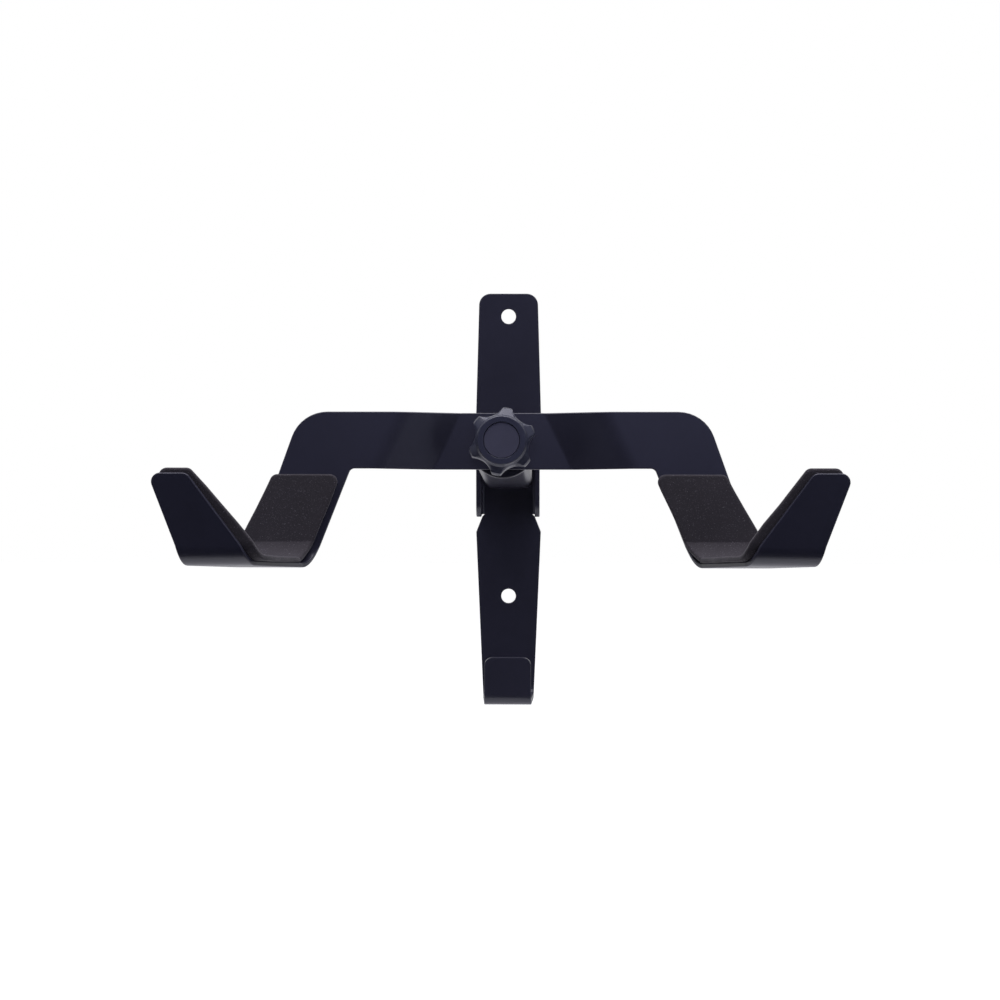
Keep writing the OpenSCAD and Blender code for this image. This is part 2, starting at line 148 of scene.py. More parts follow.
def sheet(loops, creases, fold, thickness, edge, fill=None):
    """Points and faces of bent sheet. The flat pattern's loops are drawn in by the edge radius and
    filled with triangles that keep every crease; both faces lie half the thickness from the middle
    surface, and the rim between them runs round a quarter circle, straight across the cut, and
    round another quarter circle. fold(flat) gives the middle surface and its normal."""
    drawn_in = [shifted(loop, -edge) for loop in loops]
    flat = np.concatenate(drawn_in + [np.reshape(creases, (-1, 2))])
    starts = np.cumsum([0] + [len(loop) for loop in drawn_in])
    sides = [
        np.stack([a + np.arange(b - a), a + (np.arange(b - a) + 1) % (b - a)], -1)
        for a, b in zip(starts[:-1], starts[1:])
    ]
    sides.append(starts[-1] + np.arange(2 * len(creases)).reshape(-1, 2))
    if fill is not None:
        flat = np.concatenate([flat, fill[inside(fill, [shifted(d, -0.8) for d in drawn_in])]])
    made = delaunay_2d_cdt(
        [Vector(p) for p in flat.tolist()], np.concatenate(sides).tolist(), [], 0, 1e-5, False
    )
    flat, tris = np.array([v[:] for v in made[0]]), np.array(made[2])
    a, b, c = (flat[tris[:, k]] for k in range(3))
    tris = tris[inside((a + b + c) / 3, drawn_in)]
    used, tris = np.unique(tris, return_inverse=True)
    flat, tris = flat[used], tris.reshape(-1, 3)
    n = len(flat)

    one_way = np.concatenate([tris[:, [0, 1]], tris[:, [1, 2]], tris[:, [2, 0]]])
    rim = one_way[~np.isin(one_way @ [1, n], one_way @ [n, 1])]
    d = flat[rim[:, 1]] - flat[rim[:, 0]]
    d /= np.linalg.norm(d, axis=1, keepdims=True)
    before, after = np.zeros((n, 2)), np.zeros((n, 2))
    after[rim[:, 0]], before[rim[:, 1]] = d, d
    on_rim = rim[:, 0]
    out = beside(before[on_rim], after[on_rim])
    row_of = np.zeros(n, int)
    row_of[on_rim] = np.arange(len(on_rim))

    turn = np.radians([22.5, 45, 67.5, 90, 90, 112.5, 135, 157.5])[:, None]
    straight = thickness / 2 - edge
    q = flat[on_rim] + edge * np.sin(turn)[..., None] * out
    height = np.where(np.arange(8) < 4, 1, -1)[:, None] * straight + edge * np.cos(turn)
    middle, normal = fold(q.reshape(-1, 2))
    ring = middle + np.broadcast_to(height, q.shape[:2]).reshape(-1, 1) * normal
    middle, normal = fold(flat)
    points = np.concatenate([middle + normal * thickness / 2, middle - normal * thickness / 2, ring])

    m = len(on_rim)
    rows = np.concatenate([[on_rim], 2 * n + np.arange(8 * m).reshape(8, m), [on_rim + n]])
    i, j = row_of[rim[:, 0]], row_of[rim[:, 1]]
    quads = np.stack([rows[:-1][:, i], rows[1:][:, i], rows[1:][:, j], rows[:-1][:, j]], -1)
    return points, [tris, tris[:, ::-1] + n, quads.reshape(-1, 4)]


def turned(profile, steps=96, limit=None, closed=False, smooth=0.0):
    """Points and faces of a turned piece: profile points (radius, height) swept round the axis.
    limit(angle) is the furthest that the surface may stand from the axis, as on a hexagon or a
    lobed knob; smooth rounds the meeting of profile and limit with a soft minimum of that size.
    An open profile starts and ends on the axis. Heights grow along the third coordinate."""
    profile = np.asarray(profile, float)
    a = np.linspace(0, 2 * np.pi, steps, endpoint=False)
    r = np.repeat(profile[:, :1], steps, 1)
    if limit is not None:
        top = np.broadcast_to(limit(a), r.shape)
        if smooth:
            r = np.minimum(r, top) - smooth * np.log1p(np.exp(-np.abs(r - top) / smooth)) * (r > 6)
        else:
            r = np.minimum(r, top)
    h = np.repeat(profile[:, 1:], steps, 1)
    grid = np.stack([r * np.cos(a), r * np.sin(a), h], -1)
    rows, here, there = len(profile), np.arange(steps), (np.arange(steps) + 1) % steps
    if closed:
        index = np.arange(rows * steps).reshape(rows, steps)
        index = np.concatenate([index, index[:1]])
        points = grid.reshape(-1, 3)
        caps = []
    else:
        index = np.arange((rows - 2) * steps).reshape(rows - 2, steps)
        points = np.concatenate([grid[1:-1].reshape(-1, 3), grid[0, :1], grid[-1, :1]])
        bottom, top = len(points) - 2, len(points) - 1
        caps = [
            np.stack([np.full(steps, bottom), index[0][there], index[0][here]], -1),
            np.stack([np.full(steps, top), index[-1][here], index[-1][there]], -1),
        ]
    quads = np.stack(
        [index[:-1][:, here], index[:-1][:, there], index[1:][:, there], index[1:][:, here]], -1
    )
    return points, [quads.reshape(-1, 4), *caps]


def profile_of(corners, steps=5):
    """Open profile whose first and last corners lie on the axis; the others are rounded."""
    loop = rounded([(r, h, q) for r, h, q in corners], steps)
    start = int(np.argmin(np.linalg.norm(loop - np.array(corners[0][:2]), axis=1)))
    return np.roll(loop, -start, 0)


def along_x(points):
    """Turning axis laid along +X through the hinge pin."""
    return PIN + points @ np.array([[0, 1, 0], [0, 0, 1], [1, 0, 0]])


def facing_front(points):
    """Turning axis laid along the arm, heights growing towards the front."""
    return on_arm(points @ np.array([[1, 0, 0], [0, 0, 1], [0, -1, 0]]))


# ---------------------------------------------------------------- materials


def linear(code, alpha=1.0):
    """sRGB hex colour as linear RGBA."""
    c = np.array([int(code[k : k + 2], 16) for k in (1, 3, 5)]) / 255
    c = np.where(c <= 0.04045, c / 12.92, ((c + 0.055) / 1.055) ** 2.4)
    return (*c.tolist(), alpha)


def add(tree, kind, settings=None, **sockets):
    """Adds a node, sets its properties, and fills its sockets with constants or links."""
    n = tree.nodes.new(kind)
    for key, value in (settings or {}).items():
        setattr(n, key, value)
    for key, value in sockets.items():
        socket = n.inputs[key.replace("_", " ")]
        if isinstance(value, bpy.types.NodeSocket):
            tree.links.new(value, socket)
        else:
            socket.default_value = value
    return n


def new_finish(name, **sockets):
    """A material whose Principled shader gets its constants straight on its sockets."""
    m = bpy.data.materials.new(name)
    m.use_nodes = True
    tree = m.node_tree
    shader = tree.nodes["Principled BSDF"]
    for key, value in sockets.items():
        shader.inputs[key.replace("_", " ")].default_value = value
    where = add(tree, "ShaderNodeTexCoord").outputs["Object"]
    return m, tree, shader, where


def powder_coat():
    """Polyester powder coat, baked on steel: near-black with a blue cast, satin, with a soft
    orange peel about 1.4 mm across and a finer grain from the powder that did not quite flow."""
    m, tree, shader, where = new_finish("black_powder_coat_on_steel", IOR=1.5)
    cloud = add(tree, "ShaderNodeTexNoise", Vector=where, Scale=28.0, Detail=3.0, Roughness=0.6)
    peel = add(tree, "ShaderNodeTexNoise", Vector=where, Scale=1 / (1.4 * MM), Detail=1.0)
    grain = add(tree, "ShaderNodeTexNoise", Vector=where, Scale=1 / (0.45 * MM), Detail=2.0)
    colour = add(tree, "ShaderNodeMix", {"data_type": "RGBA"}, Factor=cloud.outputs["Fac"])
    colour.inputs[6].default_value = linear("#25252f")
    colour.inputs[7].default_value = linear("#2e2e3a")
    tree.links.new(colour.outputs[2], shader.inputs["Base Color"])
    rough = add(tree, "ShaderNodeMapRange", Value=grain.outputs["Fac"], To_Min=0.24, To_Max=0.38)
    tree.links.new(rough.outputs[0], shader.inputs["Roughness"])
    waves = add(tree, "ShaderNodeBump", Height=peel.outputs["Fac"], Strength=0.25, Distance=0.03 * MM)
    fine = add(
        tree, "ShaderNodeBump", Height=grain.outputs["Fac"], Strength=0.2, Distance=0.015 * MM,
        Normal=waves.outputs[0],
    )
    tree.links.new(fine.outputs[0], shader.inputs["Normal"])
    return m


def foam():
    """Closed-cell EVA foam sheet, skived and glued on: matte charcoal with a fine cell grain, and
    pale specks where cut cells catch the light."""
    m, tree, shader, where = new_finish("charcoal_eva_foam", IOR=1.45, Sheen_Weight=0.12)
    cells = add(tree, "ShaderNodeTexNoise", Vector=where, Scale=1 / (0.6 * MM), Detail=4.0, Roughness=0.7)
    patches = add(tree, "ShaderNodeTexNoise", Vector=where, Scale=60.0, Detail=2.0)
    base = add(tree, "ShaderNodeMix", {"data_type": "RGBA"}, Factor=patches.outputs["Fac"])
    base.inputs[6].default_value = linear("#262225")
    base.inputs[7].default_value = linear("#2f2b2e")
    speck = add(
        tree, "ShaderNodeMapRange", Value=cells.outputs["Fac"], From_Min=0.58, From_Max=0.74, To_Max=0.6
    )
    colour = add(tree, "ShaderNodeMix", {"data_type": "RGBA"}, Factor=speck.outputs[0])
    tree.links.new(base.outputs[2], colour.inputs[6])
    colour.inputs[7].default_value = linear("#8f8a8f")
    tree.links.new(colour.outputs[2], shader.inputs["Base Color"])
    rough = add(tree, "ShaderNodeMapRange", Value=cells.outputs["Fac"], To_Min=0.8, To_Max=0.98)
    tree.links.new(rough.outputs[0], shader.inputs["Roughness"])
    dents = add(tree, "ShaderNodeBump", Height=cells.outputs["Fac"], Strength=0.6, Distance=0.12 * MM)
    tree.links.new(dents.outputs[0], shader.inputs["Normal"])
    return m


def moulded(name, dark, light, rough_low, rough_high, grit, depth):
    """Injection-moulded plastic: an even colour, and the spark-eroded grain of its mould."""
    m, tree, shader, where = new_finish(name, IOR=1.49)
    grain = add(tree, "ShaderNodeTexNoise", Vector=where, Scale=1 / (grit * MM), Detail=2.0)
    flow = add(tree, "ShaderNodeTexNoise", Vector=where, Scale=90.0, Detail=2.0)
    colour = add(tree, "ShaderNodeMix", {"data_type": "RGBA"}, Factor=flow.outputs["Fac"])
    colour.inputs[6].default_value = linear(dark)
    colour.inputs[7].default_value = linear(light)
    tree.links.new(colour.outputs[2], shader.inputs["Base Color"])
    rough = add(
        tree, "ShaderNodeMapRange", Value=grain.outputs["Fac"], To_Min=rough_low, To_Max=rough_high
    )
    tree.links.new(rough.outputs[0], shader.inputs["Roughness"])
    bump = add(tree, "ShaderNodeBump", Height=grain.outputs["Fac"], Strength=0.3, Distance=depth * MM)
    tree.links.new(bump.outputs[0], shader.inputs["Normal"])
    return m


def plated(name, dark, light, rough_low, rough_high):
    """Metal, plated or turned: faint streaks and stains that change its gloss more than its colour."""
    m, tree, shader, where = new_finish(name, Metallic=1.0)
    stain = add(tree, "ShaderNodeTexNoise", Vector=where, Scale=1 / (3 * MM), Detail=4.0, Roughness=0.65)
    streak = add(tree, "ShaderNodeTexNoise", Vector=where, Scale=1 / (0.35 * MM), Detail=2.0)
    colour = add(tree, "ShaderNodeMix", {"data_type": "RGBA"}, Factor=stain.outputs["Fac"])
    colour.inputs[6].default_value = linear(dark)
    colour.inputs[7].default_value = linear(light)
    tree.links.new(colour.outputs[2], shader.inputs["Base Color"])
    rough = add(tree, "ShaderNodeMapRange", Value=stain.outputs["Fac"], To_Min=rough_low, To_Max=rough_high)
    tree.links.new(rough.outputs[0], shader.inputs["Roughness"])
    bump = add(tree, "ShaderNodeBump", Height=streak.outputs["Fac"], Strength=0.2, Distance=0.01 * MM)
    tree.links.new(bump.outputs[0], shader.inputs["Normal"])
    return m


coat = powder_coat()
eva = foam()
knob_plastic = moulded("glass_filled_nylon_black", "#292b37", "#313341", 0.28, 0.4, 0.5, 0.02)
cap_plastic = moulded("moulded_abs_cap_black", "#3a3a47", "#444453", 0.42, 0.58, 0.9, 0.04)
disc_plastic = moulded("acetal_friction_disc_black", "#191920", "#1e1e26", 0.3, 0.42, 0.5, 0.01)
nylon = moulded("natural_black_nylon_washer", "#141416", "#1c1c20", 0.4, 0.55, 0.5, 0.02)
collar_nylon = moulded("blue_nylon_lock_collar", "#1f4a8c", "#2a5aa0", 0.4, 0.5, 0.5, 0.02)
zinc = plated("bright_zinc_plated_steel", "#a9abad", "#c3c5c6", 0.26, 0.42)
brass = plated("turned_brass", "#b08d46", "#c9a557", 0.25, 0.4)

# ---------------------------------------------------------------- wall plate

PLATE_T = 3.0
EAR_FLAT, EAR_TOP, EAR_FOOT, EAR_FRONT = 14.75, 16.5, -35.5, -31.0
HOOK_Z = -143.0


def channel_path(v, top_y, z0, y1, y2, radius, turn):
    """Middle line (y, z) and inner normal of sheet that runs down at y = top_y, bends forwards at
    height z0 round (y1, z0), runs to the axis (y2, z0), and turns up by the given angle. v is the
    height above z0 and, below it, the length along the line."""
    s = z0 - v
    quarter = radius * np.pi / 2
    flat = y1 - y2
    up = radius * turn
    a = -np.clip(s / radius, 0, np.pi / 2)
    b = -np.pi / 2 - np.clip((s - quarter - flat) / radius, 0, turn)
    on_second = s > quarter + flat
    ang = np.where(on_second, b, a)
    ny, nz = -np.cos(ang), -np.sin(ang)
    along = np.clip(s - quarter, 0, flat)
    rest = np.maximum(s - quarter - flat - up, 0)
    tip_y, tip_z = -np.sin(np.pi / 2 - turn), np.cos(np.pi / 2 - turn)
    y = np.where(on_second, y2, y1 - along) - radius * ny + rest * tip_y
    z = z0 - radius * nz + rest * tip_z
    y = np.where(s < 0, top_y, y)
    z = np.where(s < 0, v, z)
    return y, z, ny, nz


def fold_plate(flat):
    """Ears: past x = 14.75 the sheet turns forwards round a radius of 3. Hook: channel_path."""
    x, v = flat[:, 0], flat[:, 1]
    mid = PLATE_T / 2
    y, z, ny, nz = channel_path(v, -mid, HOOK_Z, -7.0, -29.0, 5.5, np.pi / 2)
    s = np.abs(x) - EAR_FLAT
    ear = (s > 0) & (v < EAR_TOP + 1e-6) & (v > EAR_FOOT - 1e-6)
    a = np.clip(s / 3.0, 0, np.pi / 2)
    beyond = np.maximum(s - 1.5 * np.pi, 0)
    side = np.sign(x)
    ear_x, ear_y = side * (EAR_FLAT + 3 * np.sin(a)), -4.5 + 3 * np.cos(a) - beyond
    middle = np.stack([np.where(ear, ear_x, x), np.where(ear, ear_y, y), np.where(ear, v, z)], -1)
    normal = np.stack(
        [np.where(ear, -side * np.sin(a), 0), np.where(ear, -np.cos(a), ny), np.where(ear, 0, nz)], -1
    )
    return middle, normal


def wall_plate():
    """Flat pattern of the plate with both ears and the hook laid out."""
    bend = 1.5 * np.pi
    ear_end = EAR_FLAT + bend - 4.5 - EAR_FRONT
    tip = HOOK_Z - 5.5 * np.pi - 22 - 23
    right = [
        (14.1, tip, 5), (14.18, HOOK_Z - 5.5 * np.pi - 22, 0), (14.47, HOOK_Z - 2.75 * np.pi - 22, 0),
        (15.63, HOOK_Z - 2.75 * np.pi, 0), (15.95, HOOK_Z, 0), (20, -46.5, 1.5), (16.25, -37, 0),
        (EAR_FLAT, EAR_FOOT, 0), (ear_end, EAR_FOOT, 10), (ear_end, EAR_TOP, 11), (EAR_FLAT, EAR_TOP, 0),
        (16.25, 19.5, 0), (20, 26.5, 1.5), (17.9, 100.5, 7),
    ]
    left = [(-x, v, r) for x, v, r in right[::-1]]
    outline = rounded(right + left)
    pin = EAR_FLAT + bend - 4.5 - PIN[1]
    holes = [circle(0, 86.5, 4.5), circle(0, -86.5, 4.5)]
    holes += [circle(side * pin, PIN[2], 4.05) for side in (-1, 1)]
    k = np.linspace(0, 1, 9)
    ears = [[(side * x, EAR_FOOT), (side * x, EAR_TOP)] for x in EAR_FLAT + bend * k for side in (-1, 1)]
    v = np.concatenate([HOOK_Z - 2.75 * np.pi * k, HOOK_Z - 2.75 * np.pi - 22 - 2.75 * np.pi * k])
    bends = [[(-17, h), (17, h)] for h in v]
    points, faces = sheet([outline, *holes], ears + bends, fold_plate, PLATE_T, 0.45)
    make_piece(
        "wall_plate_steel", points, faces, "wall_mount", coat, ["wall_plate"], on_plate
    )


# ---------------------------------------------------------------- folding channel arm

WEB, CHANNEL_R, CHANNEL_LOW = 10.1, 3.25, -8.5
TAB_HALF, TAB_BEND = 9.6, 20.3


def fold_channel(flat):
    """Across: flat web to 10.1 either side, a quarter turn of radius 3.25, then upright walls.
    At the front the narrow tab turns up by the same radius."""
    u, b = flat[:, 0], flat[:, 1]
    quarter = CHANNEL_R * np.pi / 2
    side = np.sign(u)
    s = np.abs(u) - WEB
    a = np.clip(s / CHANNEL_R, 0, np.pi / 2)
    x = np.where(s > 0, side * (WEB + CHANNEL_R * np.sin(a)), u)
    z = CHANNEL_LOW - CHANNEL_R * np.cos(a) + np.maximum(s - quarter, 0)
    nx, nz = -side * np.sin(a), np.cos(a)
    t = TAB_BEND - b
    tab = (t > 0) & (np.abs(u) < TAB_HALF + 1e-6)
    c = np.clip(t / CHANNEL_R, 0, np.pi / 2)
    tab_y = TAB_BEND - CHANNEL_R * np.sin(c)
    tab_z = CHANNEL_LOW - CHANNEL_R * np.cos(c) + np.maximum(t - quarter, 0)
    middle = np.stack([x, np.where(tab, tab_y, b), np.where(tab, tab_z, z)], -1)
    normal = np.stack([np.where(tab, 0, nx), np.where(tab, np.sin(c), 0), np.where(tab, np.cos(c), nz)], -1)
    return middle, normal


def swing_bracket():
    """Flat pattern of the channel: a side wall's height z lies at z + wall from the middle."""
    quarter = CHANNEL_R * np.pi / 2
    wall = WEB + quarter - CHANNEL_LOW
    tab_end = TAB_BEND - quarter - (13 - CHANNEL_LOW)
    front = 17.8
    turns = WEB + quarter * np.linspace(0, 1, 7)
    depth = CHANNEL_LOW - CHANNEL_R * np.cos(np.linspace(0, np.pi / 2, 7))
    heel = 195.5 + (3.5 - depth) * 8.68 / 16.5
    right = [
        (TAB_HALF, tab_end, 2), (TAB_HALF, TAB_BEND, 0), (WEB, TAB_BEND, 0), (WEB, front, 0),
        (wall + 13, front, 6), (wall + 13, 154.7, 20), (wall + 21.5, 171.5, 9),
        (wall + 21.5, 195.5, 11.9), (wall + 3.5, 195.5, 10),
        *[(x, y, 0) for x, y in zip(turns[::-1], heel[::-1])],
    ]
    left = [(-x, y, r) for x, y, r in right[::-1]]
    outline = rounded(right + left)
    neck = TAB_BEND - quarter + CHANNEL_LOW
    square = np.array([(-4.1, neck - 4.1), (-4.1, neck + 4.1), (4.1, neck + 4.1), (4.1, neck - 4.1)])
    eyes = [circle(side * (wall + 9.5), 183.5, 6.05) for side in (-1, 1)]
    k = np.linspace(0, 1, 7)
    along = [[(side * x, 10), (side * x, 215)] for x in turns for side in (-1, 1)]
    over = [[(-TAB_HALF, TAB_BEND - quarter * h), (TAB_HALF, TAB_BEND - quarter * h)] for h in k]
    points, faces = sheet([outline, square, *eyes], along + over, fold_channel, 2.5, 0.45)
    make_piece(
        "channel_arm_steel", points, faces, "swing_arm", coat, ["swing_bracket"], on_arm
    )


# ---------------------------------------------------------------- cradle

BAR_TOP, BAR_LOW = 17.2, -13.0
FLOOR_TOP, DEPTH = -63.2, -67.5
LIP_TURN = math.radians(80.8)
LIP_RISE = 44.4
STEEL_MID, STEEL_BEND = 1.25, 9.0
JOGGLE = 9.0
LEAN = math.radians(26)
INNER_FOLD, OUTER_FOLD = 31 * math.cos(LEAN), 61.6 * math.cos(LEAN)
INNER_SOFT, OUTER_SOFT = 1.3, 5.0
BAR_HALF = 107.1


def soft_step(p, start, end, soft_start, soft_end):
    """Falls in a straight line from 1 at start to 0 at end; both corners are parabolas that reach
    soft_start and soft_end to either side."""

    def ramp(q, soft):
        return np.where(np.abs(q) < soft, (q + soft) ** 2 / (4 * soft), np.maximum(q, 0))

    return 1 - (ramp(p - start, soft_start) - ramp(p - end, soft_end)) / (end - start)


def trough_axes(bend):
    """Axes of the two bends, (y1, y2, z), where the sheet's outer face has the radius bend."""
    return -bend, DEPTH + (bend + 2 * STEEL_MID) * math.tan(LIP_TURN / 2), FLOOR_TOP + bend


def trough(v, mid, bend):
    """Path of the cradle's section at a distance mid behind the steel's inner face."""
    y1, y2, z = trough_axes(bend)
    return channel_path(v, mid, z, y1, y2, bend + mid, LIP_TURN)


def set_back(x, v):
    """Depth of the joggle: 9 in the middle, falling to 0 between two folds that lean by 26 degrees,
    the inner one crisp and the outer one soft."""
    p = np.abs(x) * math.cos(LEAN) + v * math.sin(LEAN)
    return JOGGLE * soft_step(p, INNER_FOLD, OUTER_FOLD, INNER_SOFT, OUTER_SOFT)


def fold_cradle(flat):
    """Trough section, pushed back by set_back; the normal follows the slope of that depth."""
    x, v = flat[:, 0], flat[:, 1]
    y, z, ny, nz = trough(v, STEEL_MID, STEEL_BEND)
    d = 0.02
    dx = (set_back(x + d, v) - set_back(x - d, v)) / (2 * d)
    dz = (set_back(x, v + d) - set_back(x, v - d)) / (2 * d)
    normal = np.stack([dx, ny, nz + dz], -1)
    normal /= np.linalg.norm(normal, axis=1, keepdims=True)
    return np.stack([x, y + set_back(x, v), z], -1), normal


def edge_at(edge, v, mid, bend):
    """Half width of a strip's side edge at v. edge is the half width at the crossbar's lower edge,
    then the widening down the wall, along the floor and up the lip. The straight lengths follow three
    planes, the last two meeting at the mitre of the bend, and each bend joins them by a straight line."""
    r = bend + mid
    y1, y2, z = trough_axes(bend)
    quarter, flat, up = r * np.pi / 2, y1 - y2, r * LIP_TURN
    first, down, over, rise = edge

    def low(y, height):
        return first + down * (BAR_LOW - height) - over * (y - STEEL_MID)

    root = low(y2 - r * np.sin(LIP_TURN / 2), z - r * np.cos(LIP_TURN / 2))
    lip = root + rise * r * np.sin(LIP_TURN / 2)
    ends = z - np.array([300, quarter + flat + up, quarter + flat, quarter, 0, -300])
    widths = [
        lip + rise * (300 - quarter - flat - up), lip, low(y2, z - r), low(y1, z - r), low(mid, z),
        low(mid, z + 300),
    ]
    return np.interp(v, ends, widths)


def strip_stations(mid, bend, top, rise):
    """Values of v at the strip's top, at steps round its two bends, and at the lip's tip."""
    r = bend + mid
    y1, y2, z = trough_axes(bend)
    first = z - r * np.pi / 2 * np.linspace(0, 1, 13)
    second = first[-1] - (y1 - y2) - r * LIP_TURN * np.linspace(0, 1, 12)
    return np.concatenate([[top], first, second, [second[-1] - rise + bend * math.tan(LIP_TURN / 2)]])


STEEL_OUT = (BAR_HALF + 0.3535 * (BAR_TOP - BAR_LOW), 0.3535, 0.3765, 0.366)
STEEL_IN = (80.5, 0.389, 0.376, 0.73)


def cradle():
    """Flat pattern of the whole cradle: crossbar, two legs, floors and lips, mirrored."""
    v = strip_stations(STEEL_MID, STEEL_BEND, BAR_LOW, LIP_RISE)
    inner, outer = (edge_at(edge, v, STEEL_MID, STEEL_BEND) for edge in (STEEL_IN, STEEL_OUT))
    radius = np.zeros(len(v))
    radius[0], radius[-1] = 3, 4.5
    down = list(zip(inner, v, radius))
    radius[0] = 0
    up = list(zip(outer, v, radius))[::-1]
    right = [*down, *up, (BAR_HALF, BAR_TOP, 20)]
    left = [(-x, h, r) for x, h, r in right[::-1]]
    p = np.concatenate([
        INNER_FOLD + INNER_SOFT * np.linspace(-1, 1, 5), OUTER_FOLD + OUTER_SOFT * np.linspace(-1, 1, 9)
    ])
    folds = []
    for side in (-1, 1):
        for h in p:
            ends = [((h - z * math.sin(LEAN)) / math.cos(LEAN), z) for z in (BAR_LOW - 1, BAR_TOP + 1)]
            folds.append([(side * x, z) for x, z in ends])
        folds += [[(side * 70, h), (side * 175, h)] for h in v[1:-1]]
    loops = [rounded(right + left), circle(0, 0, 4.1)]
    points, faces = sheet(loops, folds, fold_cradle, 2.5, 0.55)
    make_piece(
        "cradle_steel", points, faces, "cradle", coat, ["cradle_arm"], on_arm
    )


FOAM_TOP, FOAM_OVER, FOAM_T, FOAM_BEND = -16.2, 2.2, 3.0, 11.5


def bridged(v, mid, path):
    """Stiff sheet cuts the first bend short: the arc is drawn most of the way towards the straight
    line between its two ends, which leaves a crease at each end and a flat facet between them."""
    y1, _, axis_z = trough_axes(FOAM_BEND)
    r = FOAM_BEND + mid
    t = (axis_z - v) / (r * np.pi / 2)
    share = np.where((t > 0.02) & (t < 0.98), 0.5, 0)
    slant = (y1 + r * (1 - t), axis_z - r * t, -math.sqrt(0.5), math.sqrt(0.5))
    return [p + share * (q - p) for p, q in zip(path, slant)]


def foam_pad(name, node, side, inner_edge, outer_edge, seed):
    """Foam strip on the inner faces of one trough, with well rounded cut edges. Its surface
    wanders by a tenth of a millimetre or so, as a few crossed sine waves with seeded phases."""
    mid = -FOAM_T / 2
    phase = np.random.default_rng(seed).uniform(0, 2 * np.pi, 6)

    def fold_foam(flat):
        x, v = flat[:, 0], flat[:, 1]
        y, z, ny, nz = bridged(v, mid, trough(v, mid, FOAM_BEND))
        lift = (
            0.07 * np.sin(x / 4.3 + v / 9 + phase[0]) + 0.06 * np.sin(v / 5.1 - x / 11 + phase[1])
            + 0.05 * np.sin(x / 2.7 - v / 3.9 + phase[2])
        )
        normal = np.stack([x * 0, ny, nz], -1)
        return np.stack([side * x, y, z], -1) + lift[:, None] * normal, normal

    v = strip_stations(mid, FOAM_BEND, FOAM_TOP, LIP_RISE + FOAM_OVER)
    v = np.concatenate([
        np.linspace(v[0], v[1], 5)[:-1], v[1:14], np.linspace(v[13], v[14], 11)[1:-1], v[14:-1],
        np.linspace(v[-2], v[-1], 5)[1:],
    ])
    wander = 0.25 * np.sin(v / 6 + phase[3]) + 0.15 * np.sin(v / 2.6 + phase[4])
    inner = edge_at(inner_edge, v, mid, FOAM_BEND) + wander
    outer = edge_at(outer_edge, v, mid, FOAM_BEND) + 0.2 * np.sin(v / 7 + phase[5])
    radius = np.zeros(len(v))
    radius[[0, -1]] = 4
    right = [*zip(inner, v, radius), *list(zip(outer, v, radius))[::-1]]
    creases = [[(70, h), (178, h)] for h in v[1:-1]]
    grid = np.stack(np.meshgrid(np.arange(76, 175, 4.0), v[1:-1]), -1).reshape(-1, 2)
    points, faces = sheet([rounded(right)], creases, fold_foam, FOAM_T, 1.15, fill=grid)
    if side < 0:
        faces = [f[:, ::-1] for f in faces]
    pad = make_piece(name, points, faces, "cradle", eva, [node], on_arm)


# ---------------------------------------------------------------- star knob

KNOB_BACK = -6.8


def scallops(angle):
    """Distance from the axis to six circular scallops of radius 10.6 centred 24.6 out: the near
    crossing of a ray with the circle, d cos a - sqrt(r^2 - d^2 sin^2 a)."""
    first = math.radians(90 - 10 + 30)
    off = (angle - first + np.pi / 6) % (np.pi / 3) - np.pi / 6
    d, r = 24.6, 10.6
    under = r * r - (d * np.sin(off)) ** 2
    return np.where(under > 0, d * np.cos(off) - np.sqrt(np.maximum(under, 0)), 30.0)


def knob():
    """Turned profile cut by the scallops, the meeting of the two softened. Behind the ring the face
    slopes back to the lobes; the middle is a recess for the cap and the back takes the insert."""
    profile = profile_of(
        [
            (0, 14, 0), (6, 14, 0), (6, 0, 0.3), (12, 0, 0.4),
            (12.6, 2, 0.6), (16.9, 3.6, 0.5), (17.7, 5, 0.8),
            (17.7, 13.8, 0.6), (17, 15.2, 0.6), (13.6, 17.2, 0.8), (12.9, 18.4, 0.3), (12.8, 21.5, 0.3),
            (12.3, 22, 0.3), (9.5, 22, 0.2), (9.4, 18.6, 0), (0, 18.6, 0),
        ]
    )
    fine = [profile[:1]]
    for a, b in zip(profile[:-1], profile[1:]):
        n = max(1, int(np.linalg.norm(b - a) / 1.2))
        fine.append(a + (b - a) * np.linspace(0, 1, n + 1)[1:, None])
    points, faces = turned(np.concatenate(fine), 432, scallops, smooth=0.22)
    points[:, 2] -= KNOB_BACK
    make_piece(
        "star_knob", points, faces, "knob", knob_plastic, ["knob_body"], facing_front
    )
    cap = profile_of(
        [(0, 16.4, 0), (7.3, 16.4, 0.3), (7.3, 18.6, 0), (9.33, 18.6, 0), (9.33, 21.5, 0.3), (0, 21.35, 0)]
    )
    points, faces = turned(cap, 128)
    points[:, 2] -= KNOB_BACK
    make_piece(
        "star_knob_cap", points, faces, "knob", cap_plastic, ["knob_cap"], facing_front
    )
    insert = rounded([(4.05, 0, 0.3), (6, 0, 0.4), (6, 14, 0.3), (4.05, 14, 0.3)])
    points, faces = turned(insert, 64, closed=True)
    points[:, 2] -= KNOB_BACK
    make_piece(
        "star_knob_insert", points, faces, "knob", brass, ["knob_insert"], facing_front
    )


